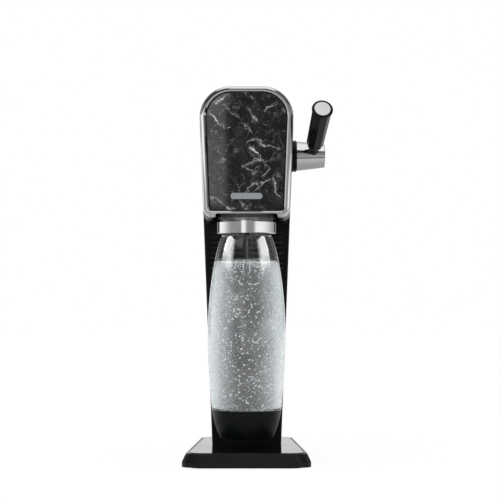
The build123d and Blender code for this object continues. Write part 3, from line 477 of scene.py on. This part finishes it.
finishes = {
    "black_shell": polished(
        "blackShell", dark=(0.0036, 0.0036, 0.004), light=(0.0056, 0.0056, 0.006),
        clean=0.34, smeared=0.44, smearSize=0.045, specular=0.26),
    "base_satin": polished(
        "baseSatin", dark=(0.006, 0.006, 0.0065), light=(0.009, 0.009, 0.0095),
        clean=0.24, smeared=0.30, smearSize=0.045, specular=0.34),
    # painted shade: a darker copy of the black shell for the column cover, which stands in the shade of the
    # head and the bottle
    "column_shaded_black": polished(
        "columnShadedBlack", dark=(0.0010, 0.0010, 0.0012), light=(0.0020, 0.0020, 0.0022),
        clean=0.34, smeared=0.44, smearSize=0.045, specular=0.24),
    "deck_gloss": polished(
        "deckGloss", dark=(0.005, 0.005, 0.0054), light=(0.008, 0.008, 0.0085),
        clean=0.09, smeared=0.13, smearSize=0.06, specular=0.45),
    "inner_plastic": moulded(
        "innerPlastic", dark=(0.035, 0.035, 0.037), light=(0.055, 0.055, 0.058),
        shiny=0.42, dull=0.6, grainSize=0.0008, depth=0.00004),
    "rubber": moulded(
        "rubber", dark=(0.012, 0.012, 0.012), light=(0.024, 0.024, 0.024),
        shiny=0.65, dull=0.85, grainSize=0.0007, depth=0.00006),
    "steel": brushed(
        "steel", dark=(0.44, 0.45, 0.46), light=(0.60, 0.61, 0.62),
        shiny=0.24, dull=0.38, across=(0.06, 1.0, 1.0)),
    "chrome": polished(
        "chrome", dark=(0.88, 0.885, 0.89), light=(0.92, 0.925, 0.93),
        clean=0.035, smeared=0.07, smearSize=0.025, metal=1.0),
    "panel_stone": makePanelStone(),
    "badge_metal": brushed(
        "badgeMetal", dark=(0.76, 0.79, 0.82), light=(0.88, 0.91, 0.94),
        shiny=0.34, dull=0.46, across=(0.04, 1.0, 1.0)),
    "clear": makeClear(),
    "black_cup": polished(
        "blackCup", dark=(0.0022, 0.0034, 0.0040), light=(0.0034, 0.0052, 0.0060),
        clean=0.30, smeared=0.38, smearSize=0.03, specular=0.24),
    "grip_black": moulded(
        "gripBlack", dark=(0.004, 0.004, 0.004), light=(0.007, 0.007, 0.007),
        shiny=0.26, dull=0.36, grainSize=0.0005, depth=0.00003, specular=0.22),
    "cap_silver": polished(
        "capSilver", dark=(0.78, 0.785, 0.79), light=(0.84, 0.845, 0.85),
        clean=0.20, smeared=0.28, smearSize=0.02, metal=1.0),
    "lock_grey": polished(
        "lockGrey", dark=(0.36, 0.36, 0.365), light=(0.44, 0.44, 0.445),
        clean=0.18, smeared=0.28, smearSize=0.02, metal=0.6),
    "brass": brushed(
        "brass", dark=(0.58, 0.40, 0.16), light=(0.74, 0.54, 0.24),
        shiny=0.22, dull=0.36, across=(1.0, 1.0, 0.1)),
    "pink": moulded(
        "pink", dark=(0.62, 0.02, 0.22), light=(0.74, 0.03, 0.28),
        shiny=0.28, dull=0.40, grainSize=0.0006, depth=0.00002),
    "aluminium": brushed(
        "aluminium", dark=(0.66, 0.67, 0.68), light=(0.78, 0.79, 0.80),
        shiny=0.28, dull=0.44, across=(1.0, 1.0, 0.05)),
    "sleeve_white": moulded(
        "sleeveWhite", dark=(0.72, 0.72, 0.71), light=(0.80, 0.80, 0.79),
        shiny=0.32, dull=0.42, grainSize=0.0012, depth=0.00001),
    "hose_grey": moulded(
        "hoseGrey", dark=(0.20, 0.205, 0.21), light=(0.26, 0.265, 0.27),
        shiny=0.35, dull=0.5, grainSize=0.0007, depth=0.00003),
}
# nodes that differ from the other pieces of their slot; the column cover's darker black is painted shade
ownFinish = {"nozzle_tube": "deck_gloss", "base_shell": "base_satin", "column_cover": "column_shaded_black"}

for part in frame["record"]["subparts"]:
    mesh = nodes[part["node"]].data
    mesh.materials.clear()
    mesh.materials.append(finishes[ownFinish.get(part["node"], part["material_slot"])])


# water and bubbles in the bottle

bottle = nodes["bottle"]
nozzleLow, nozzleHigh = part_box("nozzle_tube")

water = {
    "color": (0.955, 0.968, 0.972),
    "clear": 0.92,        # share of the light that passes
    "line": 0.2328,       # height of the water line
    "foot": 0.0342,       # just above the bottle's floor
    "sides": 96,
    "steps": 44,
    "probeTurn": 0.01,    # the bottle's radius is felt a little beside an edge of its mesh
    "wet": 0.0002,        # reaches this far into the bottle's wall, so no air shows between them
    "gap": 0.0003,        # to the nozzle
    "climb": 0.0009,      # the line climbs the wall by this much
    "climbWidth": 0.0022,
    "pocketFloor": 0.0008,
}


def wallRadius(height):
    way = (math.cos(water["probeTurn"]), math.sin(water["probeTurn"]), 0.0)
    place = bottle.ray_cast((0.0, 0.0, height), way)[1]
    return math.hypot(place.x, place.y)


def startEditing(name):
    piece = bpy.context.object
    piece.name = piece.data.name = name
    bpy.ops.object.mode_set(mode="EDIT")
    return piece


def finishEditing(smoothAngle=40.0):
    bpy.ops.mesh.select_all(action="SELECT")
    bpy.ops.mesh.remove_doubles(threshold=0.000001)
    bpy.ops.mesh.normals_make_consistent(inside=False)
    bpy.ops.object.mode_set(mode="OBJECT")
    bpy.ops.object.transform_apply(location=True, rotation=True, scale=True)
    bpy.ops.object.shade_smooth_by_angle(angle=math.radians(smoothAngle))


def pullUp(distance):
    bpy.ops.mesh.extrude_region_move(TRANSFORM_OT_translate={"value": (0.0, 0.0, distance)})


def makeFilling(name, drawIn, nozzlePocket):
    # a body that fills the bottle up to the water line, drawn in on all sides
    bpy.ops.object.select_all(action="DESELECT")
    foot = water["foot"] + drawIn
    line = water["line"] - drawIn
    radius = wallRadius(foot) + water["wet"] - drawIn
    bpy.ops.mesh.primitive_circle_add(
        vertices=water["sides"], radius=radius, fill_type="NGON", location=(0.0, 0.0, foot))
    piece = startEditing(name)
    bpy.ops.mesh.select_all(action="SELECT")
    rise = (line + water["climb"] - foot) / water["steps"]
    height = foot
    for step in range(water["steps"]):
        height += rise
        wider = wallRadius(height) + water["wet"] - drawIn
        pullUp(rise)
        growth = wider / radius
        bpy.ops.transform.resize(value=(growth, growth, 1.0), center_override=(0.0, 0.0, height))
        radius = wider
    # the top face is lower inside the climb
    bpy.ops.mesh.inset(thickness=water["climbWidth"], depth=0.0)
    bpy.ops.transform.translate(value=(0.0, 0.0, -water["climb"]))
    radius -= water["climbWidth"]
    if nozzlePocket:
        bpy.ops.mesh.inset(thickness=radius - nozzleHigh.x - water["gap"], depth=0.0)
        pullUp(nozzleLow.z - water["pocketFloor"] - line)
    finishEditing()
    return piece


def makeWaterFinish():
    material, tree, shader = newFinish(
        "water", color=water["color"], transmission=water["clear"], ior=1.33, rough=0.03)
    markedSurface(tree, shader, clean=0.01, smeared=0.06, smearSize=0.008)
    return material


def facing(tree):
    return addNode(tree, "LayerWeight", {"Blend": 0.5}).outputs["Facing"]


def notMirrored(tree):
    # keeps the pale water out of the bottle's dark neck, whose back wall mirrors it
    return calc(tree, "LESS_THAN", addNode(tree, "LightPath").outputs["Glossy Depth"], 0.5)


fizz = {
    "drawIn": 0.004,      # stays this far inside the water
    "dark": (0.84, 0.875, 0.89),
    "light": (0.95, 0.975, 0.985),
    "wispScale": 420.0,
    "wispRough": 0.6,
    "wispRamp": (0.3, 0.7, 0.75, 1.2),
    # painted light: this ramp makes the fizz paler and more solid towards the sides
    "paleSidesRamp": (0.03, 0.5, 0.0, 0.93),
}


def makeFizzFinish():
    # a cloud of very fine bubbles: thin where it is looked straight into, dense along its sides; the paleness
    # of the sides is painted light, for the white room that the water's edges bend into view
    material, tree, shader = newFinish("fizz", rough=0.7, specular=0.0)
    wisp = noise(tree, objectCoords(tree), fizz["wispScale"], 3.0, fizz["wispRough"])[0]
    tintBy(tree, shader, wisp, fizz["dark"], fizz["light"])
    # painted light: more white towards the sides, where the water bends the white room into view
    denseAndPaleSides = ramp(tree, facing(tree), *fizz["paleSidesRamp"], smooth=False)
    denseAndPaleSides = calc(tree, "MULTIPLY", denseAndPaleSides, ramp(tree, wisp, *fizz["wispRamp"]))
    tree.links.new(calc(tree, "MULTIPLY", denseAndPaleSides, notMirrored(tree)), shader.inputs["Alpha"])
    return material


for name, drawIn, nozzlePocket, finish in (
        ("water", 0.0, True, makeWaterFinish()), ("fizz", fizz["drawIn"], False, makeFizzFinish())):
    filling = makeFilling(name, drawIn, nozzlePocket)
    filling.data.materials.append(finish)
    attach(filling, "bottle_lock")
    print(name + ":", len(filling.data.polygons), "faces")

bubbles = {
    "seed": 41,
    "upper": {"count": 720, "small": 0.0005, "large": 0.0012, "low": 0.150, "high": 0.2315, "lean": 0.85},
    "lower": {"count": 900, "small": 0.0005, "large": 0.0013, "low": 0.040, "high": 0.150, "lean": 1.0},
    "tiny": {"count": 1500, "small": 0.0002, "large": 0.0005, "low": 0.040, "high": 0.2315, "lean": 0.9},
    "skin": {"count": 620, "small": 0.0003, "large": 0.0008, "low": 0.2240, "high": 0.2318, "lean": 1.0},
    "segments": 8,
    "rings": 5,
    "flatness": 0.92,     # rising bubbles are a little flat
    "sizeLean": 2,        # most are nearer the small size
    "front": -90.0,       # azimuth of the front, and how far to both sides of it they reach
    "spread": 118.0,
    "nearWall": 0.97,     # share of the bubbles that cling to the wall
    "depth": 0.0010,      # how far from the wall those lie at most
    "clear": 0.0002,      # kept free inside the water's own surface
    "dark": (0.88, 0.91, 0.92),
    "light": (0.97, 0.985, 0.99),
    # painted reflection: the rim is paler and more solid than the middle
    "rimReflectionRamp": (0.15, 0.7, 0.55, 1.0),
}


def makeOneBubble():
    bpy.ops.object.select_all(action="DESELECT")
    bpy.ops.mesh.primitive_uv_sphere_add(
        segments=bubbles["segments"], ring_count=bubbles["rings"], radius=1.0)
    piece = startEditing("oneBubble")
    bpy.ops.mesh.select_all(action="SELECT")
    bpy.ops.transform.resize(value=(1.0, 1.0, bubbles["flatness"]))
    finishEditing(180.0)
    return piece


def bubblePlace(draw, kind, size):
    height = kind["low"] + (kind["high"] - kind["low"]) * draw.random() ** kind["lean"]
    height = min(height, water["line"] - size - bubbles["clear"])
    outer = wallRadius(height) - bubbles["clear"] - size
    inner = nozzleHigh.x + water["gap"] + bubbles["clear"] + size
    if draw.random() < bubbles["nearWall"]:
        radius = outer - bubbles["depth"] * draw.random()
    else:
        radius = inner + (outer - inner) * math.sqrt(draw.random())
    turn = math.radians(bubbles["front"] + bubbles["spread"] * (2.0 * draw.random() - 1.0))
    return radius * math.cos(turn), radius * math.sin(turn), height


def makeBubbles(name, kind, draw, model):
    bpy.ops.object.select_all(action="DESELECT")
    spread = kind["large"] - kind["small"]
    sizes = [kind["small"] + spread * draw.random() ** bubbles["sizeLean"] for index in range(kind["count"])]
    places = [bubblePlace(draw, kind, size) for size in sizes]
    copies = []
    for size, place in zip(sizes, places):
        one = bpy.data.objects.new(name, model.data.copy())
        bpy.context.scene.collection.objects.link(one)
        one.location = place
        one.scale = (size, size, size)
        one.select_set(True)
        copies.append(one)
    bpy.context.view_layer.objects.active = copies[0]
    bpy.ops.object.join()
    piece = bpy.context.object
    piece.name = piece.data.name = name
    bpy.ops.object.transform_apply(location=True, rotation=True, scale=True)
    return piece


def makeBubbleFinish():
    # a thin skin: clearer in its middle, pale at its rim; the pale rim is painted reflection, for the light a
    # bubble's skin mirrors at its edge
    material, tree, shader = newFinish("bubble", ior=1.33, rough=0.08)
    sheen = markedSurface(tree, shader, clean=0.04, smeared=0.15, smearSize=0.004)
    tintBy(tree, shader, sheen["Height"], bubbles["dark"], bubbles["light"])
    # painted reflection: white that grows towards the rim
    paintedRim = ramp(tree, facing(tree), *bubbles["rimReflectionRamp"])
    tree.links.new(calc(tree, "MULTIPLY", paintedRim, notMirrored(tree)), shader.inputs["Alpha"])
    return material


draw = random.Random(bubbles["seed"])
bubbleModel = makeOneBubble()
bubbleFinish = makeBubbleFinish()
for kind in ("upper", "lower", "tiny", "skin"):
    piece = makeBubbles("bubbles_" + kind, bubbles[kind], draw, bubbleModel)
    piece.data.materials.clear()
    piece.data.materials.append(bubbleFinish)
    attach(piece, "bottle_lock")
    print("bubbles,", kind + ":", len(piece.data.polygons), "faces")
bpy.data.objects.remove(bubbleModel)


# studio: floor, room, strip lamps, key lamp and camera

studio = {
    "floorWidth": 16.0,
    "floorFront": -1.62,  # the floor sheet ends just before the camera
    "floorBack": 12.0,
    "floorColor": (0.86, 0.86, 0.86),
    "floorWhite": 0.86,   # share of plain white that the floor shows
    "floorLight": 1.05,
    "mirrorNear": (0.10, 0.27),     # depth, and what polished surfaces see of the floor there
    "mirrorFar": (-0.60, 0.44),
    "mirrorStrip": (-1.36, -0.72, 0.02),    # a dark strip across the front, and its level
    "stripSoft": 0.03,
    "mirrorSides": (0.16, 0.0, 0.75),     # from this far to the side and this depth on it is bright
    "sidesSoft": (0.06, 0.15),
    "glassFront": (0.12, 0.03),     # depth, and what is seen of the floor in front through clear pieces
    "glassBack": (0.35, 1.05),
    "throughGlass": 3.4,  # makes up for the light that the bottle keeps from what is in it
    "horizonLight": 0.55,
    "zenithLight": 0.95,
    "keyPower": 9.0,
    "keyPlace": (-1.0, -1.5, 2.0),
    "keyTarget": (0.0, 0.05, 0.2),
    "keySize": 1.2,
}


def rayMask(tree, *labels):
    path = addNode(tree, "LightPath")
    mask = path.outputs[labels[0]]
    for label in labels[1:]:
        mask = calc(tree, "MAXIMUM", mask, path.outputs[label])
    return mask


def dullRays(tree):
    # rays that light dull pieces, also those that do so through the glass
    return calc(tree, "GREATER_THAN", addNode(tree, "LightPath").outputs["Diffuse Depth"], 0.5)


def boosted(tree, light):
    more = mixValue(tree, rayMask(tree, "Is Transmission Ray"), 1.0, studio["throughGlass"])
    return calc(tree, "MULTIPLY", more, light)


def mirroredFloor(tree, depth, aside):
    (near, nearLight), (far, farLight) = studio["mirrorNear"], studio["mirrorFar"]
    light = ramp(tree, depth, far, near, farLight, nearLight)
    stripFar, stripNear, stripLight = studio["mirrorStrip"]
    strip = band(tree, depth, stripFar, studio["stripSoft"], stripNear, studio["stripSoft"])
    light = mixValue(tree, strip, light, stripLight)
    sideFrom, sideDepth, sideLight = studio["mirrorSides"]
    asideSoft, depthSoft = studio["sidesSoft"]
    sides = calc(tree, "MULTIPLY", ramp(tree, aside, sideFrom, sideFrom + asideSoft),
                 ramp(tree, depth, sideDepth, sideDepth + depthSoft))
    return mixValue(tree, sides, light, sideLight)


def makeFloor():
    bpy.ops.object.select_all(action="DESELECT")
    middle = (studio["floorFront"] + studio["floorBack"]) / 2
    bpy.ops.mesh.primitive_plane_add(size=1.0, location=(0.0, middle, 0.0))
    floor = bpy.context.object
    floor.name = "floor"
    floor.scale = (studio["floorWidth"], studio["floorBack"] - studio["floorFront"], 1.0)
    bpy.ops.object.transform_apply(location=True, rotation=True, scale=True)
    material, tree, shader = newFinish("floorPaper", color=studio["floorColor"], rough=0.9, specular=0.1)
    place = addNode(tree, "SeparateXYZ", {0: objectCoords(tree)}).outputs
    depth, aside = place["Y"], calc(tree, "ABSOLUTE", place["X"])
    mirrored = mirroredFloor(tree, depth, aside)
    (front, frontLight), (back, backLight) = studio["glassFront"], studio["glassBack"]
    through = ramp(tree, depth, front, back, frontLight, backLight)
    light = mixValue(tree, rayMask(tree, "Is Transmission Ray"), studio["floorLight"], through)
    light = mixValue(tree, rayMask(tree, "Is Glossy Ray"), light, mirrored)
    light = mixValue(tree, dullRays(tree), light, boosted(tree, studio["floorLight"]))
    white = addNode(tree, "Emission", {"Color": (1.0, 1.0, 1.0, 1.0), "Strength": light})
    seen = rayMask(tree, "Is Camera Ray", "Is Glossy Ray", "Is Transmission Ray")
    share = calc(tree, "MULTIPLY", seen, studio["floorWhite"])
    both = addNode(tree, "MixShader", {0: share, 1: shader.outputs[0], 2: white.outputs[0]})
    tree.links.new(both.outputs[0], tree.nodes["Material Output"].inputs["Surface"])
    floor.data.materials.append(material)


# what polished and clear pieces see of the room. Boards are painted one over the other: azimuth from and
# to, in degrees to the right of the front, each with its softness, elevation from and to, softness, light
room = {
    "behind": 1.0,
    "boards": [
        (-131, 3, 131, 3, -91, 42, 0.8, 0.18),        # front wall
        (-131, 3, 131, 3, -91, 8, 20, 0.32),          # and its lower part
        (-400, 1, 400, 1, 42, 91, 0.8, 0.86),         # ceiling
        (-95, 10, 95, 10, 32, 43, 1.0, 0.03),         # dark valance under the ceiling
        (-48, 5, 6, 5, 15, 39, 2.5, 0.02),            # drape high in front
        (-48, 5, 6, 2, 36, 54, 2, 0.02),              # and up into the ceiling
        (-3, 0.8, 4, 0.8, 28, 56, 3, 0.55),           # slot between the drapes
        (27, 2, 52, 4, 20, 56, 2.5, 0.05),            # drape to the right
        (-131, 2.5, -86, 30, -40, 4.7, 0.4, 0.97),    # left softbox, low
        (-131, 3, -66, 8, 5.2, 12, 0.6, 0.55),        # and dimmer above
        (-66, 8, -10, 5, 4.0, 12, 0.25, 0.95),        # left board at the height of the frame
        (33, 9, 98, 42, -40, 3.9, 0.2, 0.95),         # right softbox, low
        (70, 8, 128, 4, 5.2, 13, 0.6, 0.08),          # dark board above it
        (-18, 1.5, -3, 7, -4, 3.9, 0.2, 0.95),        # small lamp left of the camera
    ],
    # for reflections only, on both sides: azimuths away from the front
    "mirrorBoards": [
        (120, 10, 400, 1, 28, 62, 8, 0.52),           # upper part of the back wall
        (133, 3, 160, 6, -60, 60, 3, 0.06),           # dark flags
        (168, 4, 400, 1, 12, 30, 3, 0.05),            # dark rail across the back
        (46, 6, 131, 4, 41, 64, 3, 0.10),             # dark wings under the ceiling
    ],
    # heights of the view direction between which the soft light for dull pieces grows
    "softRamp": (-0.2, 1.0),
}


def paintBoard(tree, below, across, upward, board, mask=1.0):
    fromSide, fromSoft, toSide, toSoft, low, high, soft, light = board
    shape = calc(tree, "MULTIPLY", band(tree, across, fromSide, fromSoft, toSide, toSoft),
                 band(tree, upward, low, soft, high, soft))
    return mixValue(tree, calc(tree, "MULTIPLY", shape, mask), below, light)


def makeWorld():
    world = bpy.data.worlds.new("studio")
    bpy.context.scene.world = world
    world.use_nodes = True
    tree = world.node_tree
    background = tree.nodes["Background"]
    way = addNode(tree, "SeparateXYZ", {0: addNode(tree, "TexCoord").outputs["Generated"]}).outputs
    azimuth = calc(tree, "ARCTAN2", way["X"], calc(tree, "MULTIPLY", way["Y"], -1.0))
    azimuth = calc(tree, "DEGREES", azimuth)
    elevation = calc(tree, "DEGREES", calc(tree, "ARCSINE", way["Z"]))
    shown = room["behind"]
    for board in room["boards"]:
        shown = paintBoard(tree, shown, azimuth, elevation, board)
    away = calc(tree, "ABSOLUTE", azimuth)
    for board in room["mirrorBoards"]:
        shown = paintBoard(tree, shown, away, elevation, board, rayMask(tree, "Is Glossy Ray"))
    soft = ramp(
        tree, way["Z"], *room["softRamp"], studio["horizonLight"], studio["zenithLight"], smooth=False)
    light = mixValue(tree, rayMask(tree, "Is Glossy Ray", "Is Transmission Ray"), soft, shown)
    light = mixValue(tree, dullRays(tree), light, boosted(tree, soft))
    light = mixValue(tree, rayMask(tree, "Is Camera Ray"), light, 1.0)
    tree.links.new(light, background.inputs["Strength"])
    background.inputs["Color"].default_value = (1.0, 1.0, 1.0, 1.0)


# strip lamps that one node alone mirrors: azimuth from and to, each with its softness, elevation from and
# to, height of the soft lower edge, light
strips = {
    "away": 1.6,
    "height": 0.25,       # elevations are seen from here
    "bottle": [
        (-104, 3, -46, 12, 13, 46, 0.25, 16.0),
        (0.2, 0.6, 3.4, 0.6, 12, 62, 0.25, 3.2),
        (21, 1.5, 27, 1.5, 17, 58, 0.25, 1.8),
        (41, 12, 97, 3, 13, 46, 0.25, 16.0),
    ],
    "front_panel": [
        (-9, 0.8, -1.5, 0.25, 5.0, 17, 0.03, 1.6),
        (-9, 0.8, -1.5, 0.25, 11, 17, 0.15, 2.2),
    ],
}


def makeStripFinish(name, half, fromWidth, toWidth, fade, light):
    material = bpy.data.materials.new(name)
    material.use_nodes = True
    tree = material.node_tree
    tree.nodes.remove(tree.nodes["Principled BSDF"])
    place = addNode(tree, "SeparateXYZ", {0: objectCoords(tree)}).outputs
    glow = band(tree, place["X"], fromWidth - half, fromWidth, half - toWidth, toWidth)
    glow = calc(tree, "MULTIPLY", glow, ramp(tree, place["Z"], 0.0, fade))
    lamp = addNode(tree, "Emission", {"Strength": calc(tree, "MULTIPLY", glow, light)})
    both = addNode(tree, "AddShader", {0: lamp.outputs[0], 1: addNode(tree, "BsdfTransparent").outputs[0]})
    tree.links.new(both.outputs[0], tree.nodes["Material Output"].inputs["Surface"])
    return material


def makeStrip(name, values, shine):
    fromSide, fromSoft, toSide, toSoft, low, high, fade, light = values
    middle = math.radians((fromSide + toSide) / 2)
    half = math.tan(math.radians((toSide - fromSide) / 2)) * strips["away"]
    lowZ = strips["height"] + strips["away"] * math.tan(math.radians(low))
    highZ = strips["height"] + strips["away"] * math.tan(math.radians(high))
    bpy.ops.object.select_all(action="DESELECT")
    bpy.ops.mesh.primitive_plane_add(
        size=2.0, rotation=(math.pi / 2, 0.0, 0.0), location=(0.0, 0.0, (highZ - lowZ) / 2))
    strip = bpy.context.object
    strip.name = name
    strip.scale = (half, (highZ - lowZ) / 2, 1.0)
    bpy.ops.object.transform_apply(location=True, rotation=True, scale=True)
    strip.location = (strips["away"] * math.sin(middle), -strips["away"] * math.cos(middle), lowZ)
    strip.rotation_euler = (0.0, 0.0, middle)
    fromWidth, toWidth = [half * 2 * soft / (toSide - fromSide) for soft in (fromSoft, toSoft)]
    strip.data.materials.append(makeStripFinish(name, half, fromWidth, toWidth, fade, light))
    strip.visible_camera = strip.visible_diffuse = False
    strip.visible_transmission = strip.visible_shadow = False
    strip.light_linking.receiver_collection = shine


def makeStrips():
    for node in ("bottle", "front_panel"):
        shine = bpy.data.collections.new(node + "Shine")
        shine.objects.link(nodes[node])
        for index, values in enumerate(strips[node]):
            makeStrip(node + "Strip" + str(index), values, shine)


def aim(obj, target):
    way = [t - p for t, p in zip(target, obj.location)]
    flat = math.hypot(way[0], way[1])
    obj.rotation_euler = (math.atan2(flat, -way[2]), 0.0, math.atan2(way[0], -way[1]) + math.pi)


def makeKey():
    lamp = bpy.data.lights.new("key", "AREA")
    lamp.energy = studio["keyPower"]
    lamp.size = studio["keySize"]
    key = bpy.data.objects.new("key", lamp)
    bpy.context.scene.collection.objects.link(key)
    key.location = studio["keyPlace"]
    aim(key, studio["keyTarget"])
    key.visible_glossy = False


view = {
    "place": (0.0039, -1.686, 0.175),
    "sensor": 36.0,
    "lens": 105.2,
    "tiltUp": 2.39,
}


def makeCamera():
    data = bpy.data.cameras.new("camera")
    data.sensor_width = view["sensor"]
    data.lens = view["lens"]
    camera = bpy.data.objects.new("camera", data)
    bpy.context.scene.collection.objects.link(camera)
    camera.location = view["place"]
    camera.rotation_euler = (math.radians(90.0 + view["tiltUp"]), 0.0, 0.0)
    bpy.context.scene.camera = camera


makeFloor()
makeWorld()
makeStrips()
makeKey()
makeCamera()
bpy.context.scene.view_settings.view_transform = "Standard"
print("studio ready")
